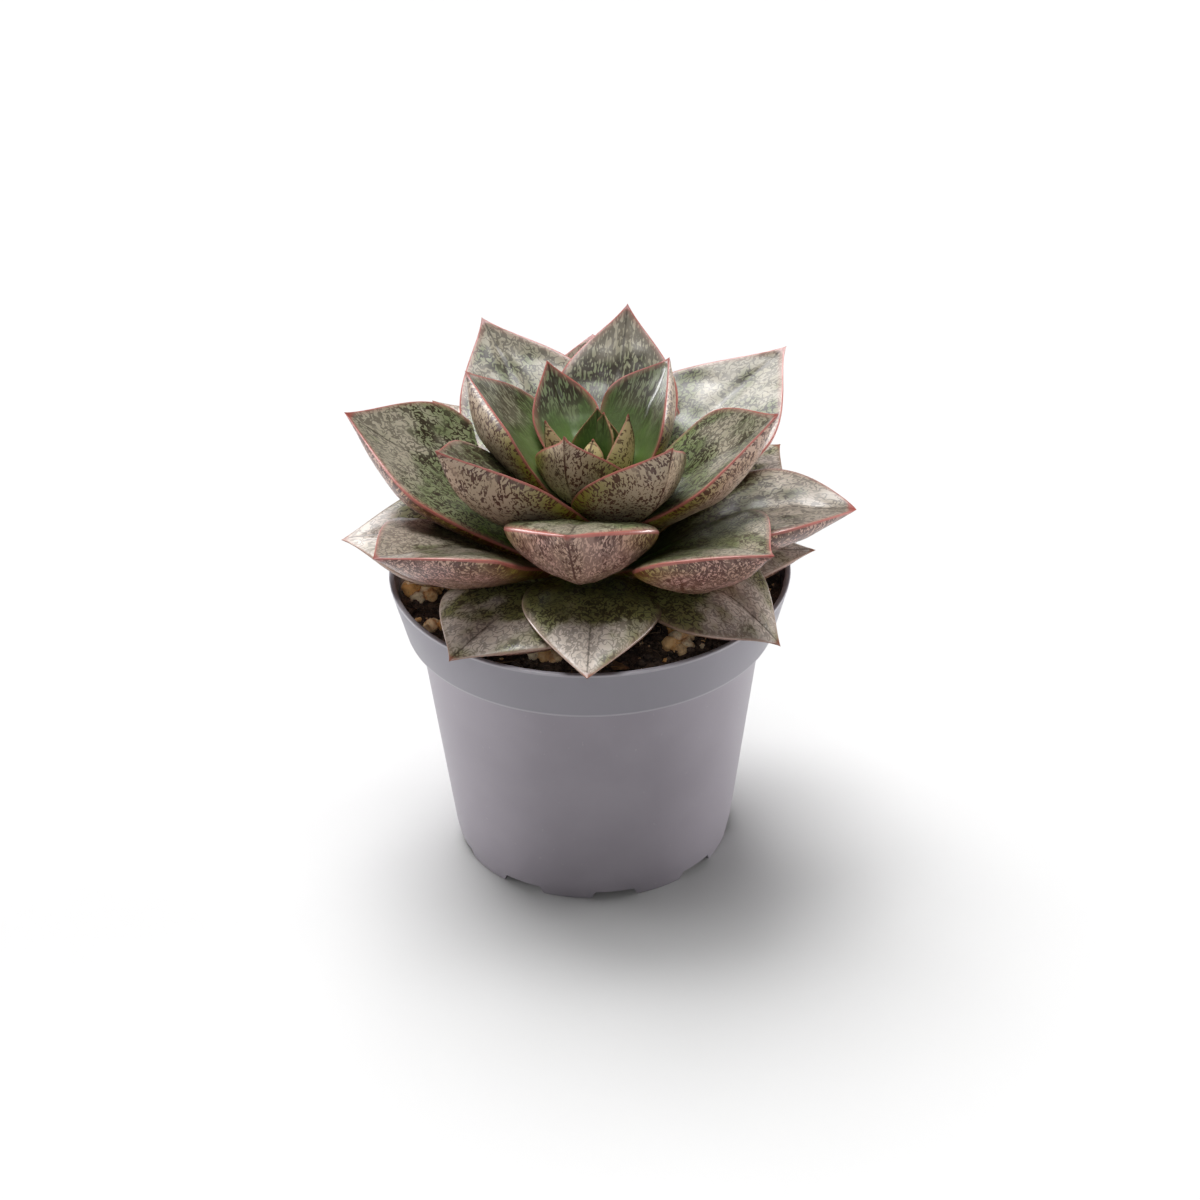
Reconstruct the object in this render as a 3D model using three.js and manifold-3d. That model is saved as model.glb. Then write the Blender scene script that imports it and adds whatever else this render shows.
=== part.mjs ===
// A rosette succulent in a 10.5 cm nursery pot, in millimetres, +Z up.
// The origin is the centre of the pot's flat underside, so the pot stands on Z = 0; -Y is the front.
// Pieces: a thin-walled pot with drain notches, the soil plug, grains of pumice lying in it, a short rooted
// stem, one solid for each grown leaf, the heart of young leaves at the stem's tip and a withered leaf.
// Each piece is cut back so that it clears its neighbours by GAP.
import * as THREE from 'three';
import { mergeVertices } from 'three/addons/utils/BufferGeometryUtils.js';
import Module from 'manifold-3d';

const wasm = await Module();
wasm.setup();

// ---- driving dimensions (mm) ----
const GAP = 0.3; // clearance between pieces that touch on the real plant

const POT = {
  height: 80.5,
  rimRadius: 52.5, // a 10.5 cm pot is measured across its rim
  collarFootRadius: 48.5,
  collarHeight: 15,
  bodyTopRadius: 45.2,
  footRadius: 37.4, // just above the rounded bottom corner
  footHeight: 6,
  baseRadius: 36.2,
  wall: 1.2,
  rimWidth: 1.5,
  rimDepth: 2.2, // the lip is thicker than the wall for this much below the rim
  sides: 40,
};
const NOTCH = { count: 9, firstAzimuth: 238.5, width: 12.6, topWidth: 10.2, height: 2.4, depth: 7 };

const SOIL = { top: 76, relief: 0.9, sides: 32 };

const STEM = { x: 2, y: 0, bottom: 52, neck: 66, sides: 10 };
const ROOTS = { count: 4, length: 30, thick: 1.6, thin: 0.7, dip: 38, from: 62, sides: 5 };

// ---- the leaf spiral ----
// Leaves follow one another round the stem by a constant angle, from the oldest, FIRST_INDEX, to the youngest.
const DIVERGENCE = 136.4; // degrees between a leaf and the next
const ZERO_AZIMUTH = 262; // azimuth of leaf 0, counted from +X towards +Y
const FIRST_INDEX = -14;
const ROOT_RADIUS = [[-14, 7], [12, 3], [18, 1.4]]; // where a leaf meets the stem: [index, mm]
const ROOT_HEIGHT = [[-14, 76.5], [-8, 80.5], [-3, 81], [0, 93], [12, 108], [18, 111.5]];

// How each leaf stands, oldest first. reach is its tip's distance from the stem's axis and tip its height;
// turn is how far it strays from the spiral; width is the blade's width over its length; curl is how much it
// bends up from root to tip, roll how much it leans on one side and sway how far its tip strays sideways;
// cup is how far the margins rise, keel and crown are the depths below and above the margins over the length;
// root is its width where it leaves the stem, over its greatest width; wide is where along the blade it is
// widest, late how late it widens up to there and point how sharply it narrows beyond.
const PLAIN = {
  turn: 0, width: 0.64, curl: 20, roll: 0, sway: 0, cup: 0.2, keel: 0.155, crown: 0.03, root: 0.6, wide: 0.52,
  late: 1.3, point: 1.2,
};
const LEAVES = [
  { reach: 57, tip: 84.4, turn: -11, width: 0.6, curl: -16, cup: 0, crown: 0.05, keel: 0.14 },
  { reach: 61.5, tip: 83, turn: -2.5, width: 0.74, curl: -29, cup: 0, crown: 0.05, keel: 0.115 },
  { reach: 58, tip: 83, width: 0.7, curl: -18, cup: 0, crown: 0.05, keel: 0.13 },
  { reach: 61.4, tip: 83.3, turn: 8.5, width: 0.71, curl: -36, cup: 0, crown: 0.05, keel: 0.11, sway: -16.8 },
  {
    reach: 65, tip: 92, turn: -14, width: 0.66, curl: -24, cup: 0.1, crown: 0.05, roll: -14, sway: 13,
    wide: 0.56,
  },
  { reach: 68, tip: 91, turn: -7, width: 0.78, curl: -8, cup: 0.08, crown: 0.05 },
  {
    reach: 60, tip: 84.4, turn: -6, width: 0.655, curl: -34, cup: 0, crown: 0.05, roll: -2.6, keel: 0.13,
    root: 0.74, wide: 0.4, late: 1, point: 0.99,
  },
  { reach: 62, tip: 107, turn: -2, width: 0.76, curl: 2, cup: 0.1, crown: 0.04 },
  {
    reach: 66.7, tip: 101, turn: -1.6, width: 0.61, curl: -29, crown: 0.04, roll: -4, sway: -6, wide: 0.62,
    late: 2.4, point: 0.88,
  },
  {
    reach: 69, tip: 109.7, turn: -16.4, width: 0.65, curl: -3, cup: 0.2, crown: 0.045, roll: 12.5, keel: 0.12,
    sway: 12.9, root: 0.16, wide: 0.65, late: 3, point: 1.08,
  },
  { reach: 55, tip: 120.5, turn: 7, width: 0.78, curl: 10, cup: 0.14, roll: -6, sway: -4, point: 1 },
  {
    reach: 65.7, tip: 114, turn: 12.2, width: 0.667, curl: -4, crown: 0.045, roll: -7, keel: 0.14, sway: -16,
    root: 0.16, late: 3, point: 1.43,
  },
  { reach: 65, tip: 123, turn: -2, width: 0.65, curl: 12, cup: 0.22, roll: -4, keel: 0.13, wide: 0.62 },
  { reach: 69, tip: 120, turn: 14, width: 0.6, curl: 12, cup: 0.2, roll: 7, sway: -11.6 },
  {
    reach: 50, tip: 119, turn: 0.4, width: 0.744, curl: 7, cup: 0.12, crown: 0.087, roll: 2, keel: 0.225,
    sway: -0.9, root: 0.65, point: 1.26,
  },
  { reach: 61, tip: 127, turn: -9.5, width: 0.58, cup: 0.16, roll: -14, sway: 3.6 },
  { reach: 47, tip: 130, width: 0.72, curl: 16, cup: 0.22, roll: 6 },
  { reach: 46.5, tip: 129, turn: -2, width: 0.7, curl: 16, cup: 0.32, roll: 5, keel: 0.165, root: 0.7 },
  { reach: 49, tip: 133, turn: 2, width: 0.57, curl: 24, cup: 0.15, roll: 4, sway: 0.9 },
  { reach: 38, tip: 134, width: 0.62, curl: 14, cup: 0.28, keel: 0.16, root: 0.7, wide: 0.42, point: 1.3 },
  { reach: 35, tip: 133, turn: -2, width: 0.74, cup: 0.3, roll: 14, keel: 0.19, root: 0.66 },
  { reach: 21.5, tip: 136.7, width: 0.75, cup: 0.36, keel: 0.18 },
  {
    reach: 24, tip: 132, turn: -3, width: 0.75, curl: 14, cup: 0.3, sway: 1.3, root: 0.88, wide: 0.3,
    point: 1.5,
  },
  { reach: 27, tip: 129, turn: 5, width: 0.56, cup: 0.22, sway: -0.9 },
];
// The leaves of the heart stand close together and are one piece with the stem's tip.
const HEART = [
  { reach: 9, tip: 127.6, width: 0.62, curl: 16, cup: 0.26, root: 0.75, wide: 0.36, point: 1.3 },
  { reach: 13.8, tip: 127, width: 0.56, curl: 16, cup: 0.26, root: 0.75 },
  { reach: 3, tip: 126.2, turn: 15, width: 0.74, curl: 18, cup: 0.42, roll: 8, root: 0.75, wide: 0.4 },
  { reach: 1.4, tip: 119.4, turn: -45, width: 0.56, curl: 12, cup: 0.26 },
  { reach: 4, tip: 114.5, width: 0.6, curl: 20, cup: 0.24 },
  { reach: 3.4, tip: 125, turn: 35, width: 0.5, curl: 16, cup: 0.3 },
];
const LEAF_STATIONS = 8;
const LEAF_SIDES = 8;
const HEART_STATIONS = 5;
const HEART_SIDES = 8;

// Grains of pumice lie in heaps round the rim: where each heap is, how many grains, and how big they are.
const HEAPS = [
  { name: 'grit_left', x: -44.5, y: -8, grains: 7, radius: 2.3 },
  { name: 'grit_front_left', x: -38, y: -22, grains: 3, radius: 1.9 },
  { name: 'grit_front', x: -9, y: -38, grains: 5, radius: 2 },
  { name: 'grit_front_right', x: 24.5, y: -32, grains: 9, radius: 2.4 },
  { name: 'grit_right', x: 43.5, y: 2, grains: 3, radius: 2 },
  { name: 'grit_back_right', x: 30, y: 31, grains: 5, radius: 2.1 },
  { name: 'grit_back_left', x: -27, y: 34, grains: 5, radius: 2.2 },
];
const GRAIN_STEP = 0.78; // distance between touching grains over the sum of their radii
const GRAIN_SUNK = 0.3; // share of a grain that is down in the soil

const SCRAP = { x: 5.8, y: -42, azimuth: 330, length: 9, width: 5, thick: 0.9 };

// ---- helpers ----
const rad = (degrees) => (degrees * Math.PI) / 180;
const clamp01 = (v) => Math.min(1, Math.max(0, v));

// Linear interpolation through a list of [x, y] points.
function along(points, x) {
  let i = 1;
  while (i < points.length - 1 && x > points[i][0]) i += 1;
  const [[x0, y0], [x1, y1]] = [points[i - 1], points[i]];
  return y0 + (y1 - y0) * clamp01((x - x0) / (x1 - x0));
}

// A repeatable stream of numbers from 0 to 1.
function randomFrom(seed) {
  let state = seed;
  return () => {
    state = (state * 1664525 + 1013904223) % 4294967296;
    return state / 4294967296;
  };
}

// A closed geometry as a solid that can be joined and cut.
function solidOf(geometry) {
  const bare = new THREE.BufferGeometry();
  bare.setAttribute('position', geometry.getAttribute('position').clone());
  if (geometry.index) bare.setIndex(geometry.index.clone());
  const merged = mergeVertices(bare, 1e-4);
  return new wasm.Manifold(
    new wasm.Mesh({
      numProp: 3,
      vertProperties: new Float32Array(merged.attributes.position.array),
      triVerts: new Uint32Array(merged.index.array),
    })
  );
}

// A solid's largest body as a geometry: cutting can leave loose scraps, which are dropped.
function geometryOf(solid) {
  const bodies = solid.decompose().sort((a, b) => b.volume() - a.volume());
  const { numProp, vertProperties, triVerts } = bodies[0].getMesh();
  const geometry = new THREE.BufferGeometry();
  geometry.setAttribute('position', new THREE.BufferAttribute(vertProperties, numProp));
  geometry.setIndex(new THREE.BufferAttribute(triVerts, 1));
  return geometry;
}

const union = (solids) => solids.reduce((sum, solid) => sum.add(solid));
const cutBy = (solid, cutters) => cutters.reduce((rest, cutter) => rest.subtract(cutter), solid);

// A closed solid of revolution round Z through (x, y), from [radius, height] points listed bottom to top on
// the outside and back down on the inside, or from axis to axis.
function turned(profile, sides, x = 0, y = 0) {
  const points = profile.map(([radius, height]) => new THREE.Vector2(radius, height));
  return new THREE.LatheGeometry(points, sides).rotateX(Math.PI / 2).translate(x, y, 0);
}

// ---- the pot ----
function potInnerRadius(z) {
  const stepHeight = POT.height - POT.collarHeight;
  const outer = z > stepHeight + POT.wall
    ? along([[stepHeight, POT.collarFootRadius], [POT.height, POT.rimRadius]], z)
    : along([[POT.footHeight, POT.footRadius], [stepHeight, POT.bodyTopRadius]], z);
  return outer - POT.wall;
}

function potGeometry() {
  const { height, collarHeight, wall, rimRadius, rimWidth, rimDepth } = POT;
  const step = height - collarHeight;
  const corner = 1.4; // radius of the rounded bottom corner
  const profile = [
    [0, 0], [POT.baseRadius - corner, 0], [POT.baseRadius - 0.3 * corner, 0.3 * corner],
    [POT.baseRadius, corner], [POT.footRadius, POT.footHeight],
    [POT.bodyTopRadius, step - 0.4], [POT.collarFootRadius - 0.5, step], [POT.collarFootRadius, step + 0.5],
    [rimRadius - 0.3, height - 0.3], [rimRadius - 0.6, height],
    [rimRadius - rimWidth, height], [rimRadius - rimWidth - 0.2, height - 0.3],
    [potInnerRadius(height - rimDepth), height - rimDepth],
    [potInnerRadius(step + wall + 0.1), step + wall + 0.1], [potInnerRadius(step), step],
    [potInnerRadius(POT.footHeight), POT.footHeight], [POT.baseRadius - wall - 0.8, wall], [0, wall],
  ];
  const notches = [];
  for (let i = 0; i < NOTCH.count; i += 1) {
    notches.push(solidOf(notchGeometry(rad(NOTCH.firstAzimuth + (360 * i) / NOTCH.count))));
  }
  return geometryOf(cutBy(solidOf(turned(profile, POT.sides)), notches));
}

// A drain notch is a wedge-ended slot across the corner between the wall and the floor.
function notchGeometry(azimuth) {
  const outline = new THREE.Shape([
    new THREE.Vector2(-NOTCH.width / 2, -1),
    new THREE.Vector2(NOTCH.width / 2, -1),
    new THREE.Vector2(NOTCH.width / 2, 0),
    new THREE.Vector2(NOTCH.topWidth / 2, NOTCH.height),
    new THREE.Vector2(-NOTCH.topWidth / 2, NOTCH.height),
    new THREE.Vector2(-NOTCH.width / 2, 0),
  ]);
  const slot = new THREE.ExtrudeGeometry(outline, { depth: NOTCH.depth, bevelEnabled: false, steps: 1 });
  return slot
    .rotateX(Math.PI / 2)
    .rotateZ(Math.PI / 2)
    .translate(POT.baseRadius - NOTCH.depth / 2, 0, 0)
    .rotateZ(azimuth);
}

// ---- soil ----
// The soil's surface rises and falls in low, uneven waves.
function soilHeight(x, y) {
  const waves = Math.sin(x * 0.31 + 1.3) * Math.cos(y * 0.27 - 0.4) + 0.6 * Math.sin(x * 0.83 - y * 0.71);
  return SOIL.top + SOIL.relief * 0.6 * waves;
}

function soilGeometry() {
  const edge = (z) => potInnerRadius(z) - GAP;
  const step = POT.height - POT.collarHeight;
  const bottom = POT.wall + GAP;
  const profile = [
    [0, bottom], [POT.baseRadius - POT.wall - 1.6, bottom], [edge(POT.footHeight), POT.footHeight],
    [edge(step), step + POT.wall + 0.4], [edge(step + POT.wall + 1), step + POT.wall + 1],
    [edge(SOIL.top - 2) - 0.1, SOIL.top - 2], [edge(SOIL.top) - 0.4, SOIL.top],
    [38, SOIL.top], [28, SOIL.top], [17, SOIL.top], [0, SOIL.top],
  ];
  const geometry = turned(profile, SOIL.sides);
  const points = geometry.getAttribute('position');
  for (let i = 0; i < points.count; i += 1) {
    if (points.getZ(i) > SOIL.top - 0.01) points.setZ(i, soilHeight(points.getX(i), points.getY(i)));
  }
  return geometry;
}

// ---- stem and roots ----
const stemRadius = (index) => along(ROOT_RADIUS, index) + 0.4;

function stemSolid(grow) {
  const top = along(ROOT_HEIGHT, 9);
  const profile = [
    [0, STEM.bottom - grow], [1.5 + grow, STEM.bottom - grow], [4.5 + grow, STEM.neck],
    [stemRadius(-14) + grow, along(ROOT_HEIGHT, -14) - 4], [stemRadius(-7) + grow, along(ROOT_HEIGHT, -7)],
    [stemRadius(0) + grow, along(ROOT_HEIGHT, 0)], [stemRadius(9) + grow, top + grow], [0, top + grow],
  ];
  const roots = [];
  for (let i = 0; i < ROOTS.count; i += 1) {
    const { thick, thin, length, sides } = ROOTS;
    const root = new THREE.CylinderGeometry(thick + grow, thin + grow, length + grow, sides)
      .rotateX(-Math.PI / 2)
      .translate(0, 0, length / 2)
      .rotateX(Math.PI)
      .rotateY(rad(ROOTS.dip + 9 * (i % 2)))
      .rotateZ((2 * Math.PI * i) / ROOTS.count)
      .translate(STEM.x, STEM.y, ROOTS.from);
    roots.push(solidOf(root));
  }
  return union([solidOf(turned(profile, STEM.sides, STEM.x, STEM.y)), ...roots]);
}

// ---- leaves ----
// Half the blade's width over its greatest, at s from root (0) to tip (1): it widens from the root as a power
// of a quarter sine and narrows to the tip as a power of a quarter cosine.
function widthAt(s, { root, wide, late, point }) {
  if (s < wide) return root + (1 - root) * Math.sin((Math.PI / 2) * (s / wide)) ** late;
  return Math.cos((Math.PI / 2) * ((s - wide) / (1 - wide))) ** point;
}

// The blade's thickness over its greatest: it fills out by 45% of the length and thins to the tip.
function thicknessAt(s) {
  if (s < 0.45) return 0.55 + 0.45 * Math.sin((Math.PI / 2) * (s / 0.45));
  return Math.max(0, 1 - ((s - 0.45) / 0.55) ** 2.2) ** 0.75;
}

// One closed leaf, grown by grow all round. Its midrib is an arc in the upright plane through the stem; each
// section across it has a shallow face above and a keeled back below, with sharp margins between them.
function leafGeometry(index, shape, stations, sides, grow) {
  const leaf = { ...PLAIN, ...shape };
  const azimuth = rad(ZERO_AZIMUTH - DIVERGENCE * index + leaf.turn);
  const rootRadius = along(ROOT_RADIUS, index);
  const rootHeight = along(ROOT_HEIGHT, index);
  const out = leaf.reach - rootRadius;
  const rise = leaf.tip - rootHeight;
  const curl = rad(leaf.curl);
  const sinc = (angle) => (Math.abs(angle) < 1e-6 ? 1 : Math.sin(angle) / angle);
  const length = Math.hypot(out, rise) / sinc(curl / 2);
  const startPitch = Math.atan2(rise, out) - curl / 2;
  const positions = [];
  const place = (s, side, up, margin) => {
    const chord = length * s * sinc((curl * s) / 2) + margin;
    const towards = startPitch + (curl * s) / 2;
    const pitch = startPitch + curl * s;
    const lean = rad(leaf.roll) * clamp01(s * 1.6);
    const across = side * Math.cos(lean) - up * Math.sin(lean) + leaf.sway * s * s;
    const lifted = side * Math.sin(lean) + up * Math.cos(lean);
    const r = rootRadius + chord * Math.cos(towards) - lifted * Math.sin(pitch);
    const z = rootHeight + chord * Math.sin(towards) + lifted * Math.cos(pitch);
    positions.push(
      STEM.x + r * Math.cos(azimuth) - across * Math.sin(azimuth),
      STEM.y + r * Math.sin(azimuth) + across * Math.cos(azimuth),
      z
    );
  };
  for (let i = 0; i < stations; i += 1) {
    const s = 1 - (1 - i / stations) ** 1.25;
    const full = widthAt(s, leaf);
    const half = (leaf.width * length * full) / 2;
    const back = leaf.keel * length * thicknessAt(s) * full ** 0.35 + grow;
    const face = leaf.crown * length * thicknessAt(s) * full ** 0.5 + grow;
    const cup = leaf.cup * along([[0, 0.45], [0.3, 0.8], [1, 1.15]], s) * (half + 1.7 * grow);
    for (let j = 0; j < sides; j += 1) {
      const c = Math.cos((2 * Math.PI * j) / sides);
      const n = Math.sin((2 * Math.PI * j) / sides);
      const skin = n >= 0 ? face * n : -back * (0.62 * Math.abs(n) + 0.38 * (1 - Math.abs(c)));
      place(s, (half + grow) * c, cup * Math.abs(c) ** 1.7 + skin, i === 0 ? -grow : 0);
    }
  }
  const rootCentre = positions.length / 3;
  place(0, 0, 0, -grow);
  const tipPoint = rootCentre + 1;
  place(1, 0, 0, grow);
  const faces = [];
  for (let i = 0; i < stations; i += 1) {
    for (let j = 0; j < sides; j += 1) {
      const here = i * sides + j;
      const next = i * sides + ((j + 1) % sides);
      if (i === 0) faces.push(rootCentre, next, here);
      if (i === stations - 1) faces.push(here, next, tipPoint);
      else faces.push(here, next, next + sides, here, next + sides, here + sides);
    }
  }
  const geometry = new THREE.BufferGeometry();
  geometry.setAttribute('position', new THREE.Float32BufferAttribute(positions, 3));
  geometry.setIndex(faces);
  return geometry;
}

const heartIndex = (i) => FIRST_INDEX + LEAVES.length + i;
const leafSolids = (grow) =>
  LEAVES.map((leaf, i) => solidOf(leafGeometry(FIRST_INDEX + i, leaf, LEAF_STATIONS, LEAF_SIDES, grow)));

// The heart is its leaves joined to the crown, the domed tip of the stem.
function heartSolid(grow) {
  const bottom = along(ROOT_HEIGHT, 9) + 2 * GAP;
  const leaves = HEART.map((leaf, i) =>
    solidOf(leafGeometry(heartIndex(i), leaf, HEART_STATIONS, HEART_SIDES, grow))
  );
  const crown = turned(
    [
      [0, bottom - grow], [3.6 + grow, bottom - grow], [3.4 + grow, 108 + grow], [2 + grow, 113 + grow],
      [0, 115 + grow],
    ],
    STEM.sides, STEM.x, STEM.y
  );
  return union([solidOf(crown), ...leaves]);
}

// ---- grit and the withered leaf ----
// A heap grows from its first grain: each further grain touches an earlier one, in a direction drawn at random
// until it clears the pot's wall.
function heapSolid({ x, y, grains, radius }, seed, grow) {
  const random = randomFrom(seed);
  const placed = [];
  while (placed.length < grains) {
    const size = radius * (0.75 + 0.5 * random());
    const onto = placed[Math.floor(random() * placed.length)];
    const direction = 2 * Math.PI * random();
    const step = onto ? GRAIN_STEP * (onto.size + size) : 0;
    const grain = {
      size,
      x: (onto ? onto.x : x) + step * Math.cos(direction),
      y: (onto ? onto.y : y) + step * Math.sin(direction),
      flat: 0.75 + 0.2 * random(),
      spin: 2 * Math.PI * random(),
    };
    if (Math.hypot(grain.x, grain.y) + size + 2 * GAP < potInnerRadius(SOIL.top)) placed.push(grain);
  }
  return union(placed.map((grain) => {
    const size = grain.size + grow;
    const stone = new THREE.IcosahedronGeometry(size, 0)
      .rotateX(grain.spin)
      .rotateZ(grain.spin)
      .scale(1, 1, grain.flat)
      .translate(grain.x, grain.y, soilHeight(grain.x, grain.y) + size * grain.flat * (1 - 2 * GRAIN_SUNK));
    return solidOf(stone);
  }));
}

// The withered leaf is a small curled blade lying on the soil, the same thickness all over.
function scrapSolid(grow) {
  const { length, width, thick } = SCRAP;
  const spread = 1 + (2.4 * grow) / width;
  const outline = new THREE.Shape();
  outline.moveTo(-length / 2, 0);
  outline.quadraticCurveTo(-length * 0.1, width * 0.75, length / 2, 0);
  outline.quadraticCurveTo(-length * 0.1, -width * 0.75, -length / 2, 0);
  const depth = thick + 2 * grow;
  const blade = new THREE.ExtrudeGeometry(outline, { depth, bevelEnabled: false, curveSegments: 5 });
  const points = blade.getAttribute('position');
  for (let i = 0; i < points.count; i += 1) {
    const [x, y] = [points.getX(i), points.getY(i)];
    points.setXYZ(i, x * spread, y * spread, points.getZ(i) - grow + 0.03 * x * x + 0.08 * y * y);
  }
  const height = soilHeight(SCRAP.x, SCRAP.y) + GAP;
  return solidOf(blade.rotateZ(rad(SCRAP.azimuth)).translate(SCRAP.x, SCRAP.y, height));
}

// ---- materials ----
const finish = (color, roughness) => new THREE.MeshStandardMaterial({ color, roughness, metalness: 0 });
const PLASTIC = finish('#8f8b92', 0.45);
const PEAT = finish('#2b211b', 0.95);
const PUMICE = finish('#c9a070', 0.9);
const BARK = finish('#6f7a4c', 0.7);
const OLD_LEAF = finish('#6c7562', 0.45);
const LEAF = finish('#7d7f6a', 0.45);
const YOUNG_LEAF = finish('#6f8a4e', 0.45);
const DRY_LEAF = finish('#6e5138', 0.85);

// ---- assembly ----
const plant = new THREE.Group();

function add(name, geometry, material) {
  const mesh = new THREE.Mesh(geometry, material);
  mesh.name = name;
  plant.add(mesh);
}

const stemClearance = stemSolid(GAP);
const leafClearances = leafSolids(GAP);
const heartClearance = heartSolid(GAP);
const plantClearances = [stemClearance, heartClearance, ...leafClearances];
const heapClearances = HEAPS.map((heap, i) => heapSolid(heap, i + 1, GAP));

add('pot', potGeometry(), PLASTIC);
const soilCutters = [...plantClearances, ...heapClearances, scrapSolid(GAP)];
add('soil', geometryOf(cutBy(solidOf(soilGeometry()), soilCutters)), PEAT);
HEAPS.forEach((heap, i) => {
  const cutters = [...plantClearances, ...heapClearances.slice(0, i), scrapSolid(GAP)];
  add(heap.name, geometryOf(cutBy(heapSolid(heap, i + 1, 0), cutters)), PUMICE);
});
add('withered_leaf', geometryOf(cutBy(scrapSolid(0), plantClearances)), DRY_LEAF);
add('stem', geometryOf(stemSolid(0)), BARK);
leafSolids(0).forEach((leaf, i) => {
  // A younger leaf lies on an older one, so the older one gives way.
  const younger = [stemClearance, heartClearance, ...leafClearances.slice(i + 1)];
  const material = i < 8 ? OLD_LEAF : LEAF;
  add(`leaf_${String(i + 1).padStart(2, '0')}`, geometryOf(cutBy(leaf, younger)), material);
});
add('heart', geometryOf(heartSolid(0)), YOUNG_LEAF);

export default plant;
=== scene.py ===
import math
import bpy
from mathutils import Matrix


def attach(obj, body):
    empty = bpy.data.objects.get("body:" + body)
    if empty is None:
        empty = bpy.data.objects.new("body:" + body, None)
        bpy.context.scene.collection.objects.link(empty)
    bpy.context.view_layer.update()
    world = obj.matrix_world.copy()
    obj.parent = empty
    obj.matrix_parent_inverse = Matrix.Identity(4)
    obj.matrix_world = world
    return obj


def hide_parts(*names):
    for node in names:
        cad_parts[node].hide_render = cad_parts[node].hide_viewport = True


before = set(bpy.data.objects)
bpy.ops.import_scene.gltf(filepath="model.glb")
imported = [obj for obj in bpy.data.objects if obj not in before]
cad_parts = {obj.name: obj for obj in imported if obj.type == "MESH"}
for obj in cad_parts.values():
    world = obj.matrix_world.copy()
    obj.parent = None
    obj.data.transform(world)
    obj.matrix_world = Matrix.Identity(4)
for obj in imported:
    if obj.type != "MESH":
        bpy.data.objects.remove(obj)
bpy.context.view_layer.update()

# A rosette succulent in a 10.5 cm nursery pot. Lengths are in millimetres until a mesh is made, +Z is up,
# -Y is the front and the pot stands on Z = 0. The sizes that the frame doesn't hold are named here. The leaf
# spiral, the heaps of grit and the pot's wall repeat the rules that shaped the solids, on finer grids.

from types import SimpleNamespace

import bpy
import numpy as np
from mathutils import Matrix, Vector

MM = 0.001
TAU = 2 * math.pi

# ---- camera, floor and light, in mm and degrees; each sun shines from far off in the direction given ----
CAMERA = {"aim": (2.54, 0.0, 70.43), "distance": 900.0, "elevation": 31.44, "roll": -0.79, "lens": 102.84}
FLOOR_REACH = 6000.0
SUNS = [
    dict(name="key", direction=(-0.2, 0.46, 1.0), energy=3.1, degrees=42),
    dict(name="overhead", direction=(-0.04, 0.05, 1.0), energy=1.8, degrees=34),
    dict(name="front", direction=(-0.15, -1.0, 0.55), energy=0.58, degrees=50),
]
SOFTBOXES = [
    dict(name="left_side", place=(-1100, 300, 120), size=(600, 300), power=10),
    dict(name="right_side", place=(1100, 300, 120), size=(600, 300), power=11),
]
SOFTBOX_AIM = (0, 0, 80)

# ---- pot ----
POT_HEIGHT = 80.5
RIM_RADIUS = 52.5
COLLAR_HEIGHT = 15.0
COLLAR_FOOT_RADIUS = 48.5
BODY_TOP_RADIUS = 45.2
FOOT_HEIGHT = 6.0
FOOT_RADIUS = 37.4
BASE_RADIUS = 36.2
POT_WALL = 1.2
RIM_WIDTH = 1.5
RIM_DEPTH = 2.2
CORNER_RADIUS = 0.55
STEP_HEIGHT = POT_HEIGHT - COLLAR_HEIGHT
NOTCH = {"count": 9, "first_azimuth": 238.5, "width": 12.6, "top_width": 10.2, "height": 2.4, "depth": 7.0}

# ---- soil and stem ----
SOIL_TOP = 76.0
SOIL_RELIEF = 0.9
CRUMBS = {"count": 900, "sizes": (0.35, 1.25), "seed": 31}
FINE_GRIT = {"count": 150, "sizes": (0.35, 0.95), "seed": 32}
FIBRES = {"count": 110, "length": (2.5, 8.0), "thick": (0.08, 0.2), "seed": 33}
GAP = 0.3
STEM_X = 2.0

# ---- the leaf spiral ----
DIVERGENCE = 136.4
ZERO_AZIMUTH = 262.0
FIRST_INDEX = -14
ROOT_RADIUS = ((-14, 12, 18), (7.0, 3.0, 1.4))
ROOT_HEIGHT = ((-14, -8, -3, 0, 12, 18), (76.5, 80.5, 81.0, 93.0, 108.0, 111.5))

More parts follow.
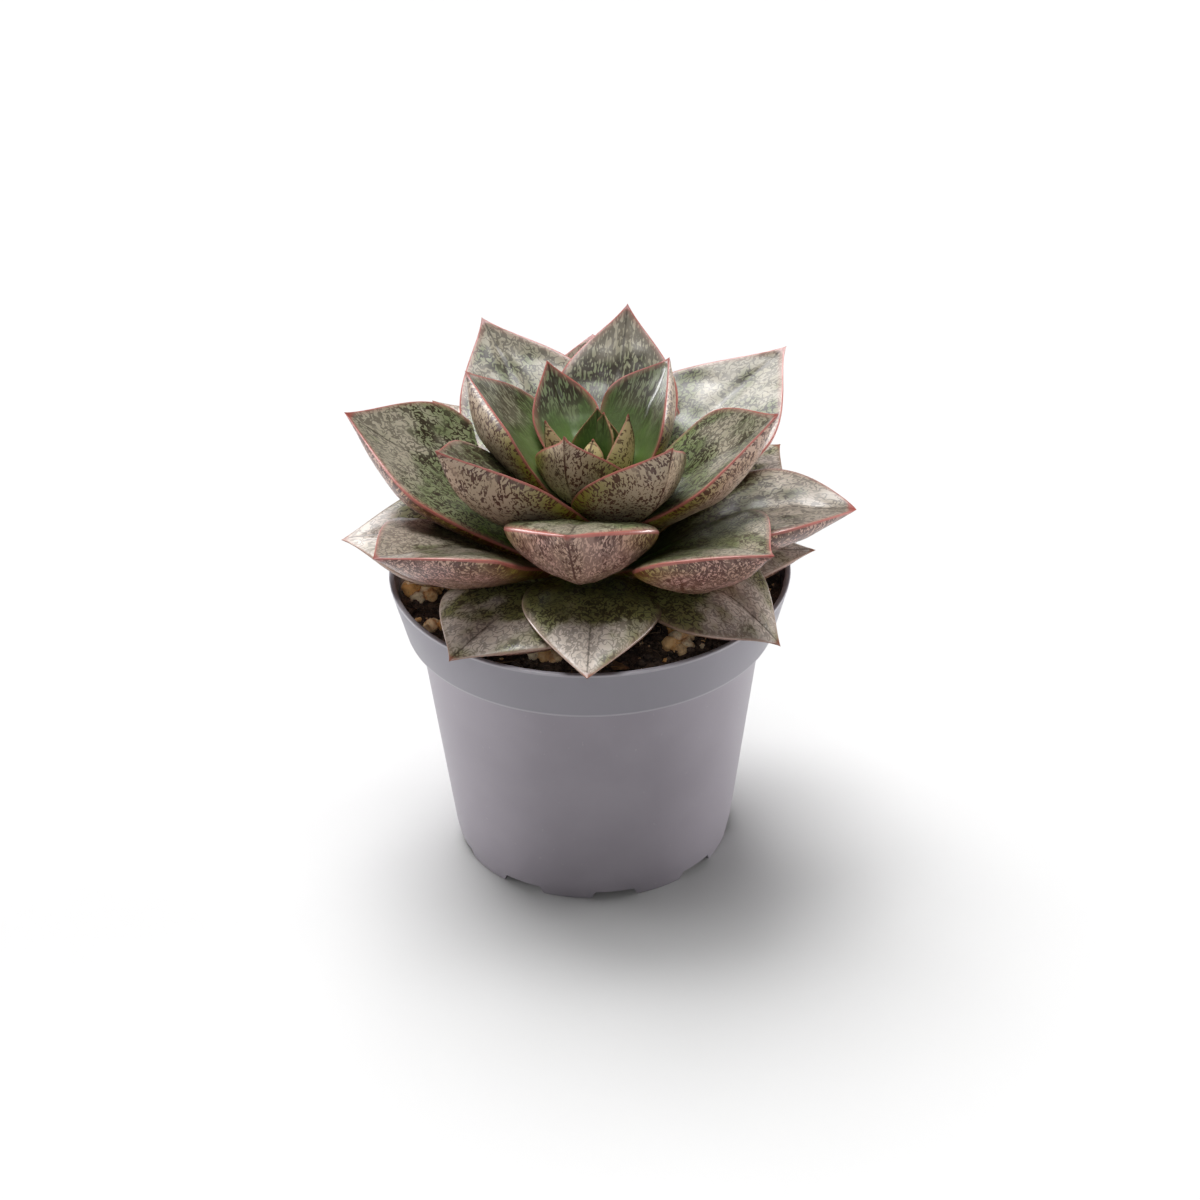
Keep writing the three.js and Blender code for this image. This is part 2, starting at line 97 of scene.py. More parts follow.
# reach and tip place the leaf's point; turn is how far it strays from the spiral; width, keel and crown are
# shares of its length; curl, roll and sway bend it up, lean it and draw its point sideways; cup lifts its
# margins; root is its width at the stem over its greatest, wide is where it is widest, late is how late it
# widens up to there and point is how sharply it narrows beyond.
PLAIN = {
    "turn": 0, "width": 0.64, "curl": 20, "roll": 0, "sway": 0, "cup": 0.2, "keel": 0.155, "crown": 0.03,
    "root": 0.6, "wide": 0.52, "late": 1.3, "point": 1.2,
}
LEAVES = [
    dict(reach=57, tip=84.4, turn=-11, width=0.6, curl=-16, cup=0, crown=0.05, keel=0.14),
    dict(reach=61.5, tip=83, turn=-2.5, width=0.74, curl=-29, cup=0, crown=0.05, keel=0.115),
    dict(reach=58, tip=83, width=0.7, curl=-18, cup=0, crown=0.05, keel=0.13),
    dict(reach=61.4, tip=83.3, turn=8.5, width=0.71, curl=-36, cup=0, crown=0.05, keel=0.11, sway=-16.8),
    dict(reach=65, tip=92, turn=-14, width=0.66, curl=-24, cup=0.1, crown=0.05, roll=-14, sway=13,
         wide=0.56),
    dict(reach=68, tip=91, turn=-7, width=0.78, curl=-8, cup=0.08, crown=0.05),
    dict(reach=60, tip=84.4, turn=-6, width=0.655, curl=-34, cup=0, crown=0.05, roll=-2.6, keel=0.13,
         root=0.74, wide=0.4, late=1, point=0.99),
    dict(reach=62, tip=107, turn=-2, width=0.76, curl=2, cup=0.1, crown=0.04),
    dict(reach=66.7, tip=101, turn=-1.6, width=0.61, curl=-29, crown=0.04, roll=-4, sway=-6, wide=0.62,
         late=2.4, point=0.88),
    dict(reach=69, tip=109.7, turn=-16.4, width=0.65, curl=-3, cup=0.2, crown=0.045, roll=12.5, keel=0.12,
         sway=12.9, root=0.16, wide=0.65, late=3, point=1.08),
    dict(reach=55, tip=120.5, turn=7, width=0.78, curl=10, cup=0.14, roll=-6, sway=-4, point=1),
    dict(reach=65.7, tip=114, turn=12.2, width=0.667, curl=-4, crown=0.045, roll=-7, keel=0.14, sway=-16,
         root=0.16, late=3, point=1.43),
    dict(reach=65, tip=123, turn=-2, width=0.65, curl=12, cup=0.22, roll=-4, keel=0.13, wide=0.62),
    dict(reach=69, tip=120, turn=14, width=0.6, curl=12, cup=0.2, roll=7, sway=-11.6),
    dict(reach=50, tip=119, turn=0.4, width=0.744, curl=7, cup=0.12, crown=0.087, roll=2, keel=0.225,
         sway=-0.9, root=0.65, point=1.26),
    dict(reach=61, tip=127, turn=-9.5, width=0.58, cup=0.16, roll=-14, sway=3.6),
    dict(reach=47, tip=130, width=0.72, curl=16, cup=0.22, roll=6),
    dict(reach=46.5, tip=129, turn=-2, width=0.7, curl=16, cup=0.32, roll=5, keel=0.165, root=0.7),
    dict(reach=49, tip=133, turn=2, width=0.57, curl=24, cup=0.15, roll=4, sway=0.9),
    dict(reach=38, tip=134, width=0.62, curl=14, cup=0.28, keel=0.16, root=0.7, wide=0.42, point=1.3),
    dict(reach=35, tip=133, turn=-2, width=0.74, cup=0.3, roll=14, keel=0.19, root=0.66),
    dict(reach=21.5, tip=136.7, width=0.75, cup=0.36, keel=0.18),
    dict(reach=24, tip=132, turn=-3, width=0.75, curl=14, cup=0.3, sway=1.3, root=0.88, wide=0.3,
         point=1.5),
    dict(reach=27, tip=129, turn=5, width=0.56, cup=0.22, sway=-0.9),
]
HEART = [
    dict(reach=9, tip=127.6, width=0.62, curl=16, cup=0.26, root=0.75, wide=0.36, point=1.3),
    dict(reach=13.8, tip=127, width=0.56, curl=16, cup=0.26, root=0.75),
    dict(reach=3, tip=126.2, turn=15, width=0.74, curl=18, cup=0.42, roll=8, root=0.75, wide=0.4),
    dict(reach=1.4, tip=119.4, turn=-45, width=0.56, curl=12, cup=0.26),
    dict(reach=4, tip=114.5, width=0.6, curl=20, cup=0.24),
    dict(reach=3.4, tip=125, turn=35, width=0.5, curl=16, cup=0.3),
]
OLD_LEAVES = 8
LEAF_STATIONS = 72
LEAF_SIDES = 72
SPINE = 0.38  # half the width of the little spine at a leaf's point
SPINE_SHARE = 0.035  # share of the leaf's length that the spine takes
PATTERN_STEP = 7.3  # how far apart in the patterns two neighbouring leaves are painted

# ---- grit ----
HEAPS = [
    dict(node="grit_left", x=-44.5, y=-8, grains=7, radius=2.3),
    dict(node="grit_front_left", x=-38, y=-22, grains=3, radius=1.9),
    dict(node="grit_front", x=-9, y=-38, grains=5, radius=2.0),
    dict(node="grit_front_right", x=24.5, y=-32, grains=9, radius=2.4),
    dict(node="grit_right", x=43.5, y=2, grains=3, radius=2.0),
    dict(node="grit_back_right", x=30, y=31, grains=5, radius=2.1),
    dict(node="grit_back_left", x=-27, y=34, grains=5, radius=2.2),
]
GRAIN_STEP = 0.78
GRAIN_SUNK = 0.3
SCRAP = {"x": 5.8, "y": -42.0, "azimuth": 330.0, "length": 9.0, "width": 5.0, "thick": 0.9}


# ---------------- numbers

def smooth(x, low, high):
    """0 below low, 1 above high, and three x squared less two x cubed between them."""
    t = np.clip((x - low) / (high - low), 0, 1)
    return t * t * (3 - 2 * t)


def swell(points, size, seed, waves=10):
    """Smooth random relief of about -1 to 1: the sum of sine waves of length near size that run in random
    directions with random phases, over the root of their number."""
    rng = np.random.default_rng(seed)
    directions = rng.normal(size=(waves, points.shape[-1]))
    directions /= np.linalg.norm(directions, axis=1, keepdims=True)
    lengths = size * rng.uniform(0.6, 1.5, waves)
    phases = rng.uniform(0, TAU, waves)
    return np.sin(points @ (directions / lengths[:, None]).T * TAU + phases).sum(-1) / math.sqrt(waves)


def stream(seed):
    """A repeatable stream of numbers from 0 to 1, each worked out from the one before it."""
    state = seed
    while True:
        state = (state * 1664525 + 1013904223) % 4294967296
        yield state / 4294967296


# ---------------- meshes

def wrapped_quads(rows, columns):
    """The faces of a grid of points whose last column joins its first, one row after another."""
    row, column = np.meshgrid(np.arange(rows - 1), np.arange(columns), indexing="ij")
    here = row * columns + column
    beside = row * columns + (column + 1) % columns
    return np.stack([here, beside, beside + columns, here + columns], -1).reshape(-1, 4)


def fan(ring, centre, flip=False):
    """Triangles from a ring of points to one point."""
    following = np.roll(ring, -1)
    pair = (following, ring) if flip else (ring, following)
    return np.stack([pair[0], pair[1], np.full(len(ring), centre)], -1)


def capped(rings, rows, sides):
    """A tube from its rings' points, closed at each end by a fan to the middle of the end's ring."""
    ends = np.stack([rings[:sides].mean(0), rings[-sides:].mean(0)])
    first, last = np.arange(sides), (rows - 1) * sides + np.arange(sides)
    faces = [wrapped_quads(rows, sides), fan(first, len(rings), flip=True), fan(last, len(rings) + 1)]
    return np.concatenate([rings, ends]), faces


def mesh_from(name, points, faces):
    """A mesh from points in mm and a list of arrays of faces."""
    mesh = bpy.data.meshes.new(name)
    polygons = [polygon for block in faces for polygon in block.tolist()]
    mesh.from_pydata(np.asarray(points) * MM, [], polygons)
    return mesh


def in_scene(name, data):
    """A new object in the scene that holds data."""
    made = bpy.data.objects.new(name, data)
    bpy.context.scene.collection.objects.link(made)
    return made


def build(name, points, faces, material, nodes=(), attributes=None):
    """A smooth piece with its material and attributes, riding on the body that holds the plant, in place of
    the given nodes."""
    mesh = mesh_from(name, points, faces)
    mesh.polygons.foreach_set("use_smooth", np.ones(len(mesh.polygons), bool))
    for key, values in (attributes or {}).items():
        layer = mesh.attributes.new(key, "FLOAT_VECTOR", "POINT")
        layer.data.foreach_set("vector", np.asarray(values, np.float32).ravel())
    mesh.materials.append(material)
    mesh.update()
    piece = in_scene(name, mesh)
    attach(piece, "root")
    if nodes:
        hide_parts(*nodes)
    return piece


def joined(parts):
    """Several (points, faces, attributes) as one: the points one after another and the faces shifted."""
    shift = np.cumsum([0] + [len(part[0]) for part in parts[:-1]])
    points = np.concatenate([part[0] for part in parts])
    faces = [block + s for part, s in zip(parts, shift) for block in part[1]]
    attributes = {key: np.concatenate([part[2][key] for part in parts]) for key in parts[0][2]}
    return points, faces, attributes


# ---------------- leaves

def width_along(s, leaf):
    """Half the blade's width over its greatest: it widens from the root as a quarter sine to the power late
    and narrows to the point as a quarter cosine to the power point."""
    rising = np.sin(TAU / 4 * np.clip(s / leaf["wide"], 0, 1)) ** leaf["late"]
    root = leaf["root"] + (1 - leaf["root"]) * rising
    ahead = np.cos(TAU / 4 * np.clip((s - leaf["wide"]) / (1 - leaf["wide"]), 0, 1))
    return np.where(s < leaf["wide"], root, np.clip(ahead, 0, 1) ** leaf["point"])


def thickness_along(s):
    """The blade's thickness over its greatest: a quarter sine up to 45% of the length, then falling to
    nothing at the point as (1 - t to the power 2.2) to the power 0.75."""
    filling = 0.55 + 0.45 * np.sin(TAU / 4 * np.clip(s / 0.45, 0, 1))
    thinning = np.clip(1 - np.clip((s - 0.45) / 0.55, 0, 1) ** 2.2, 0, 1) ** 0.75
    return np.where(s < 0.45, filling, thinning)


def leaf_run(index, leaf):
    """How a leaf runs: its azimuth, the radius and height of its root, its bend, its length and its first
    pitch, so that its point comes out at its reach and tip. The chord of an arc is its length times the sine
    of half its bend over half its bend."""
    root_radius = np.interp(index, *ROOT_RADIUS)
    root_height = np.interp(index, *ROOT_HEIGHT)
    out, rise = leaf["reach"] - root_radius, leaf["tip"] - root_height
    bend = math.radians(leaf["curl"])
    return SimpleNamespace(
        azimuth=math.radians(ZERO_AZIMUTH - DIVERGENCE * index + leaf["turn"]),
        root_radius=root_radius, root_height=root_height, bend=bend,
        length=math.hypot(out, rise) / np.sinc(bend / TAU), first_pitch=math.atan2(rise, out) - bend / 2,
    )


def leaf_section(index, leaf, length, s, c, n):
    """The section at s, sideways and upwards, from the cosine and sine of the angle round it. It is half the
    width times the cosine sideways, and upwards the crown times the sine above and the keel's depth times
    0.62 sine + 0.38 (1 - cosine) below, with the margins lifted as the cosine to the power 1.7. Waves and a
    shallow groove along the upper face keep it from being plain."""
    full, thick = width_along(s, leaf), thickness_along(s)
    spine = SPINE * np.clip((1 - s) / SPINE_SHARE, 0, 1) ** 0.8 * smooth(s, 0.9, 0.97)
    half = np.hypot(leaf["width"] * length * full / 2, spine)
    back = np.hypot(leaf["keel"] * length * thick * full ** 0.35, spine)
    face = np.hypot(leaf["crown"] * length * thick * full ** 0.5, spine)
    cup = leaf["cup"] * np.interp(s, [0, 0.3, 1], [0.45, 0.8, 1.15]) * half

    grid = np.stack([c * half, s * length + 0 * c, 40.0 * index + 9 * (n > 0) + 0 * s * c], -1)
    wave = swell(grid, 17, index + 50) * 0.35 + swell(grid, 6, index + 90) * 0.12
    calm = np.clip(full, 0, 1) * np.abs(n)
    groove = np.exp(-(c / 0.13) ** 2) * smooth(s, 0.15, 0.5) * (1 - smooth(s, 0.85, 0.97))
    above = face * n + wave * calm * 0.8 - 0.42 * groove * np.clip(face, 0, 1.5)
    below = -back * (0.62 * np.abs(n) ** 1.12 + 0.38 * (1 - np.abs(c))) + wave * calm
    return half * c + 0 * s, cup * np.abs(c) ** 1.7 + np.where(n >= 0, above, below)


def leaf_sheet(leaf, run, s, side, up):
    """The section's points carried along the midrib, an arc in the upright plane through the stem, leaning
    more and more up to five eighths of the length and drawn sideways as s squared."""
    lean = math.radians(leaf["roll"]) * np.clip(s * 1.6, 0, 1)
    across = side * np.cos(lean) - up * np.sin(lean) + leaf["sway"] * s * s
    lifted = side * np.sin(lean) + up * np.cos(lean)
    chord = run.length * s * np.sinc(run.bend * s / TAU)
    towards, pitch = run.first_pitch + run.bend * s / 2, run.first_pitch + run.bend * s
    r = run.root_radius + chord * np.cos(towards) - lifted * np.sin(pitch)
    z = run.root_height + chord * np.sin(towards) + lifted * np.cos(pitch)
    return np.stack([*in_plan(run.azimuth, r, across), z], -1)


def in_plan(azimuth, r, across):
    """X and Y of a place at radius r from the stem and across from its azimuth."""
    return (STEM_X + r * math.cos(azimuth) - across * math.sin(azimuth),
            r * math.sin(azimuth) + across * math.cos(azimuth))


def from_margin(sheet):
    """How far round its section each point is from the nearer margin."""
    steps = np.linalg.norm(np.roll(sheet, -1, 1) - sheet, axis=2)
    walked = np.concatenate([np.zeros((len(sheet), 1)), np.cumsum(steps, 1)], 1)
    total, middle = walked[:, -1:], walked[:, sheet.shape[1] // 2][:, None]
    walked = walked[:, :-1]
    return np.minimum(np.minimum(walked, total - walked), np.abs(walked - middle))


def leaf_surface(index, shape, stations=LEAF_STATIONS, sides=LEAF_SIDES):
    """One closed leaf: rings of points from its root to its point, and what its skin is painted by."""
    leaf = {**PLAIN, **shape}
    run = leaf_run(index, leaf)
    s = (1 - (1 - np.arange(stations) / stations) ** 1.25)[:, None]
    angle = np.arange(sides)[None, :] * TAU / sides
    c, n = np.cos(angle), np.sin(angle)
    side, up = leaf_section(index, leaf, run.length, s, c, n)
    sheet = leaf_sheet(leaf, run, s, side, up)
    tip = [*in_plan(run.azimuth, leaf["reach"], leaf["sway"]), leaf["tip"]]
    points = np.concatenate([sheet.reshape(-1, 3), [sheet[0].mean(0), tip]])

    def with_ends(values, at_root, at_tip):
        return np.concatenate([np.stack(np.broadcast_arrays(*values), -1).reshape(-1, 3), [at_root, at_tip]])

    # blade: the place on the blade in mm and the leaf's pattern number; zone: the share of the length, the
    # distance from the margin and 1 on the upper face; keel: the distance from the keel and how young the
    # leaf is, from 0 to 1
    number = PATTERN_STEP * (index - FIRST_INDEX)
    youth = (index - FIRST_INDEX) / len(LEAVES + HEART)
    upper = (n >= -1e-6) + 0.0
    attributes = {
        "blade": with_ends((side, s * run.length, number), [0, 0, number], [0, run.length, number]),
        "zone": with_ends((s, from_margin(sheet), upper), [0, 3, 0.5], [1, 0, 0.5]),
        "keel": with_ends((np.abs(side), 0.0, youth), [0, 0, youth], [0, 0, youth]),
    }
    first, last = np.arange(sides), (stations - 1) * sides + np.arange(sides)
    ends = [fan(first, len(points) - 2, flip=True), fan(last, len(points) - 1)]
    return points, [wrapped_quads(stations, sides), *ends], attributes


def make_leaves(skins):
    """Every leaf as a piece of its own, and the heart's young leaves joined into one."""
    for i, shape in enumerate(LEAVES):
        points, faces, attributes = leaf_surface(FIRST_INDEX + i, shape)
        slot = "old_leaf" if i < OLD_LEAVES else "leaf"
        number = f"{i + 1:02d}"
        build(f"leaf_blade_{number}", points, faces, skins[slot], [f"leaf_{number}"], attributes)
    first_young = FIRST_INDEX + len(LEAVES)
    young = [leaf_surface(first_young + i, shape, stations=40, sides=40) for i, shape in enumerate(HEART)]
    points, faces, attributes = joined(young)
    build("heart_leaves", points, faces, skins["young_leaf"], ["heart"], attributes)


# ---------------- pot

def inner_radius(z):
    """The wall's inner radius at height z: the collar's or the body's outer radius less the wall."""
    collar = np.interp(z, [STEP_HEIGHT, POT_HEIGHT], [COLLAR_FOOT_RADIUS, RIM_RADIUS])
    body = np.interp(z, [FOOT_HEIGHT, STEP_HEIGHT], [FOOT_RADIUS, BODY_TOP_RADIUS])
    return np.where(np.asarray(z) > STEP_HEIGHT + POT_WALL, collar, body) - POT_WALL


def turned(profile, sides):
    """A surface of revolution round Z from (radius, height) points; a radius of 0 at either end is closed
    with a fan."""
    profile = np.asarray(profile, float)
    start_pole, end_pole = profile[0, 0] == 0, profile[-1, 0] == 0
    rings = profile[int(start_pole):len(profile) - int(end_pole)]
    angle = np.arange(sides) * TAU / sides
    points = np.stack([
        rings[:, :1] * np.cos(angle), rings[:, :1] * np.sin(angle), rings[:, 1:] + 0 * angle,
    ], -1).reshape(-1, 3)
    faces = [wrapped_quads(len(rings), sides)]
    ends = ((start_pole, 0, profile[0, 1], True), (end_pole, len(rings) - 1, profile[-1, 1], False))
    for at_pole, row, height, flip in ends:
        if at_pole:
            faces.append(fan(row * sides + np.arange(sides), len(points), flip))
            points = np.concatenate([points, [[0, 0, height]]])
    return points, faces


def rounded(corners, radius, steps=4):
    """A profile whose inner corners are replaced by short quadratic curves that start radius before each
    corner and end radius after it."""
    corners = np.asarray(corners, float)
    t = np.linspace(0, 1, steps + 1)[:, None]
    line = [corners[:1]]
    for before, corner, after in zip(corners[:-2], corners[1:-1], corners[2:]):
        reach = min(radius, 0.45 * np.linalg.norm(before - corner), 0.45 * np.linalg.norm(after - corner))
        a = corner + reach * (before - corner) / np.linalg.norm(before - corner)
        b = corner + reach * (after - corner) / np.linalg.norm(after - corner)
        line.append((1 - t) ** 2 * a + 2 * t * (1 - t) * corner + t ** 2 * b)
    line.append(corners[-1:])
    return np.concatenate(line)


def notch_block(azimuth):
    """A wedge-ended block that cuts one drain notch: a six-cornered outline run out along the radius."""
    w, t, h = NOTCH["width"] / 2, NOTCH["top_width"] / 2, NOTCH["height"]
    outline = np.array([[-w, -1], [w, -1], [w, 0], [t, h], [-t, h], [-w, 0]])
    inside, outside = BASE_RADIUS - NOTCH["depth"] / 2, BASE_RADIUS + NOTCH["depth"] / 2
    points = np.array([[r, y, z] for r in (inside, outside) for y, z in outline])
    turn = np.array(Matrix.Rotation(math.radians(azimuth), 3, "Z"))
    ring = np.arange(6)
    sides = np.stack([ring, np.roll(ring, -1), np.roll(ring, -1) + 6, ring + 6], -1)
    return points @ turn.T, [sides, ring[None, ::-1], ring[None] + 6]


def cut_notches(pot):
    """Takes the drain notches out of the pot's foot."""
    azimuths = [NOTCH["first_azimuth"] + 360 * i / NOTCH["count"] for i in range(NOTCH["count"])]
    points, faces, _ = joined([(*notch_block(azimuth), {}) for azimuth in azimuths])
    cutter = in_scene("notches", mesh_from("notches", points, faces))
    cut = pot.modifiers.new("notches", "BOOLEAN")
    cut.object = cutter
    cut.operation = "DIFFERENCE"
    cut.solver = "EXACT"
    bpy.context.view_layer.update()
    result = bpy.data.meshes.new_from_object(pot.evaluated_get(bpy.context.evaluated_depsgraph_get()))
    pot.modifiers.remove(cut)
    pot.data = result
    bpy.data.objects.remove(cutter)


def make_pot(material):
    """The pot as one turned wall with small rounded corners, cut by its drain notches."""
    foot = [[0, 0], [BASE_RADIUS - 0.1, 0], [FOOT_RADIUS - 0.05, FOOT_HEIGHT]]
    wall = [[BODY_TOP_RADIUS, STEP_HEIGHT - 0.3], [COLLAR_FOOT_RADIUS, STEP_HEIGHT],
            [RIM_RADIUS, POT_HEIGHT]]
    lip_foot = POT_HEIGHT - RIM_DEPTH
    lip = [[RIM_RADIUS - RIM_WIDTH - 0.1, POT_HEIGHT], [float(inner_radius(lip_foot)), lip_foot]]
    inside = [[float(inner_radius(z)), z] for z in (STEP_HEIGHT + POT_WALL + 0.1, STEP_HEIGHT, FOOT_HEIGHT)]
    floor = [[BASE_RADIUS - POT_WALL - 0.8, POT_WALL], [0, POT_WALL]]
    profile = rounded(foot + wall + lip + inside + floor, CORNER_RADIUS)
    points, faces = turned(profile, 192)
    pot = build("pot_wall", points, faces, material, ["pot"])
    cut_notches(pot)
    pot.data.set_sharp_from_angle(angle=math.radians(38))


# ---------------- soil, grit and the withered leaf

def soil_height(x, y):
    """The soil's surface: low uneven waves about its mean height."""
    waves = np.sin(x * 0.31 + 1.3) * np.cos(y * 0.27 - 0.4) + 0.6 * np.sin(x * 0.83 - y * 0.71)
    return SOIL_TOP + SOIL_RELIEF * 0.6 * waves


def make_soil(material):
    """The plug of peat: its sides follow the pot's wall, and its top is a fine disc of rings raised by the
    soil's waves and by two sizes of crumbly relief."""
    edge = float(inner_radius(SOIL_TOP)) - GAP
    rings = edge * np.linspace(1, 0, 72)[:-1]
    bottom = POT_WALL + GAP
    heights = (FOOT_HEIGHT, STEP_HEIGHT, STEP_HEIGHT + POT_WALL + 1)
    foot, step, above_step = (float(inner_radius(z)) - GAP for z in heights)
    wall = [[0, bottom], [BASE_RADIUS - POT_WALL - 1.6, bottom], [foot, FOOT_HEIGHT],
            [step, STEP_HEIGHT + POT_WALL + 0.4], [above_step, STEP_HEIGHT + POT_WALL + 1],
            [edge - 0.25, SOIL_TOP - 2]]
    profile = wall + [[r, SOIL_TOP] for r in rings] + [[0, SOIL_TOP]]
    points, faces = turned(profile, 220)
    top = points[:, 2] > SOIL_TOP - 0.01
    x, y = points[top, 0], points[top, 1]
    flat = points[top, :2]
    lumps = 0.45 * np.abs(swell(flat, 5.0, 3)) + 0.3 * np.abs(swell(flat, 1.9, 4, 16)) - 0.35
    lumps = lumps * smooth(edge - np.hypot(x, y), -0.1, 1.2)
    points[top, 2] = soil_height(x, y) + lumps
    build("peat_plug", points, faces, material, ["soil"])


def lump(size, seed, rows, columns, rough=0.2):
    """A stone: a sphere of rows and columns pushed in and out by relief about as long as its radius."""
    polar = np.linspace(0, TAU / 2, rows + 2)[1:-1, None]
    turn = np.arange(columns)[None, :] * TAU / columns
    ball = np.stack([np.sin(polar) * np.cos(turn), np.sin(polar) * np.sin(turn),
                     -np.cos(polar) + 0 * turn], -1).reshape(-1, 3)
    ball = np.concatenate([ball, [[0, 0, -1], [0, 0, 1]]])
    ball = ball * (1 + rough * swell(ball, 1.7, seed) + 0.3 * rough * swell(ball, 0.6, seed + 1))[:, None]
    faces = [wrapped_quads(rows, columns), fan(np.arange(columns), len(ball) - 2, flip=True),
             fan((rows - 1) * columns + np.arange(columns), len(ball) - 1)]
    return ball * size, faces


def strewn(count, seed, inner=20.0):
    """count random places on the soil, evenly spread between the radius inner and the wall, as x and y."""
    rng = np.random.default_rng(seed)
    outer = float(inner_radius(SOIL_TOP)) - 1.6
    radius = np.sqrt(rng.uniform(inner ** 2, outer ** 2, count))
    azimuth = rng.uniform(0, TAU, count)
    return radius * np.cos(azimuth), radius * np.sin(azimuth), rng


def make_crumbs(name, crumbs, material):
    """Small crumbs strewn over the soil, most of them near the smaller size, from twelve rough shapes."""
    count, (small, large), seed = crumbs["count"], crumbs["sizes"], crumbs["seed"]
    x, y, rng = strewn(count, seed)
    size = small + (large - small) * rng.random(count) ** 2.5
    shapes = [lump(1.0, seed * 10 + k, rows=4, columns=7, rough=0.35) for k in range(12)]
    spin = rng.uniform(0, TAU, count)
    parts = []
    for i in range(count):
        points, faces = shapes[i % len(shapes)]
        turn = np.array(Matrix.Rotation(spin[i], 3, "Z"))
        stone = points @ turn.T * size[i] * [1.0, 0.8, 0.62]
        height = soil_height(x[i], y[i]) + 0.3 * size[i] + 0.25
        tint = np.tile([[spin[i] / TAU, 0, 0]], (len(stone), 1))
        parts.append((stone + [x[i], y[i], height], faces, {"grain": tint}))
    points, faces, attributes = joined(parts)
    build(name, points, faces, material, attributes=attributes)


def make_fibres(material):
    """Thin fibres on the peat: each a five-sided tube along a shallow arc, bent sideways by a slow wave."""
    count, steps, sides = FIBRES["count"], 9, 5
    x, y, rng = strewn(count, FIBRES["seed"], inner=26.0)
    t = np.linspace(-0.5, 0.5, steps)
    angle = np.arange(sides) * TAU / sides
    parts = []
    for i in range(count):
        length, thick = rng.uniform(*FIBRES["length"]), rng.uniform(*FIBRES["thick"])
        heading, bend = rng.uniform(0, TAU), rng.uniform(-0.25, 0.25)
        ahead, bowed = t * length, bend * length * (1 - 4 * t * t)
        px = x[i] + ahead * math.cos(heading) - bowed * math.sin(heading)
        py = y[i] + ahead * math.sin(heading) + bowed * math.cos(heading)
        inside = np.minimum(1, (float(inner_radius(SOIL_TOP)) - 0.8) / np.hypot(px, py))
        px, py = px * inside, py * inside
        pz = soil_height(px, py) + 0.75 + 0.5 * np.cos(3 * t + i)
        aside = np.array([-math.sin(heading), math.cos(heading), 0])
        ring = thick * (np.cos(angle)[:, None] * aside + np.sin(angle)[:, None] * [0, 0, 1])
        tube = np.stack([px, py, pz], -1)[:, None, :] + ring[None] * (1.15 - np.abs(t))[:, None, None]
        tube = tube.reshape(-1, 3)
        parts.append((*capped(tube, steps, sides), {}))
    points, faces, _ = joined(parts)
    build("peat_fibres", points, faces, material)


def make_withered_leaf(material):
    """The dry leaf on the soil: at t along it the half width is 1.5 t (1 - t) times the width, the midline
    rises as 0.03 x squared + 0.08 y squared and the blade is ruffled by small waves."""
    steps, sides = 40, 32
    t = (np.arange(steps) + 0.5)[:, None] / steps
    angle = np.arange(sides)[None] * TAU / sides
    along = (1 - t) ** 2 * -0.5 + 2 * t * (1 - t) * -0.1 + t ** 2 * 0.5
    x = along * SCRAP["length"] + 0 * angle
    y = 1.5 * t * (1 - t) * SCRAP["width"] * np.cos(angle)
    flat = np.stack([x, y], -1)
    rise = 0.03 * x ** 2 + 0.08 * y ** 2 + 0.12 * swell(flat, 2.2, 5)
    z = rise + SCRAP["thick"] * (0.5 + 0.42 * np.sin(angle) * np.sin(TAU / 2 * t) ** 0.3)
    turn = math.radians(SCRAP["azimuth"])
    points = np.stack([
        SCRAP["x"] + x * math.cos(turn) - y * math.sin(turn),
        SCRAP["y"] + x * math.sin(turn) + y * math.cos(turn),
        soil_height(SCRAP["x"], SCRAP["y"]) + GAP + z,
    ], -1)
    points, faces = capped(points.reshape(-1, 3), steps, sides)
    blade = np.concatenate([np.stack([x, y, 0 * x], -1).reshape(-1, 3), np.zeros((2, 3))])
    build("dry_blade", points, faces, material, ["withered_leaf"], {"blade": blade})


def heap_grains(heap, seed):
    """Where the grains of a heap lie: each touches an earlier one, in a direction drawn at random until it
    clears the pot's wall."""
    draw = stream(seed)
    placed = []
    while len(placed) < heap["grains"]:
        size = heap["radius"] * (0.75 + 0.5 * next(draw))
        pick = next(draw)
        onto = placed[int(pick * len(placed))] if placed else None
        direction = TAU * next(draw)
        step = GRAIN_STEP * (onto["size"] + size) if onto else 0
        x = (onto["x"] if onto else heap["x"]) + step * math.cos(direction)
        y = (onto["y"] if onto else heap["y"]) + step * math.sin(direction)
        flat = 0.75 + 0.2 * next(draw)
        spin = TAU * next(draw)
        if math.hypot(x, y) + size + 2 * GAP < float(inner_radius(SOIL_TOP)):
            placed.append(dict(size=size, x=x, y=y, flat=flat, spin=spin))
    return placed


def make_grit(material):
    """Each heap's grains as rough stones, flattened, spun and sunk a little into the soil."""
    for i, heap in enumerate(HEAPS):
        parts = []
        for j, grain in enumerate(heap_grains(heap, i + 1)):
            points, faces = lump(grain["size"] * 0.98, 20 * i + j + 200, rows=18, columns=28)
            turn = np.array(Matrix.Rotation(grain["spin"], 3, "Z"))
            points = points @ turn.T * [1, 1, grain["flat"]]
            z = soil_height(grain["x"], grain["y"]) + grain["size"] * grain["flat"] * (1 - 2 * GRAIN_SUNK)
            tint = np.tile([[(i * 7 + j * 13) % 10 / 9, 0, 0]], (len(points), 1))
            parts.append((points + [grain["x"], grain["y"], z], faces, {"grain": tint}))
        points, faces, attributes = joined(parts)
        build(f"pumice_{heap['node'][5:]}", points, faces, material, [heap["node"]], attributes)


# ---------------- materials

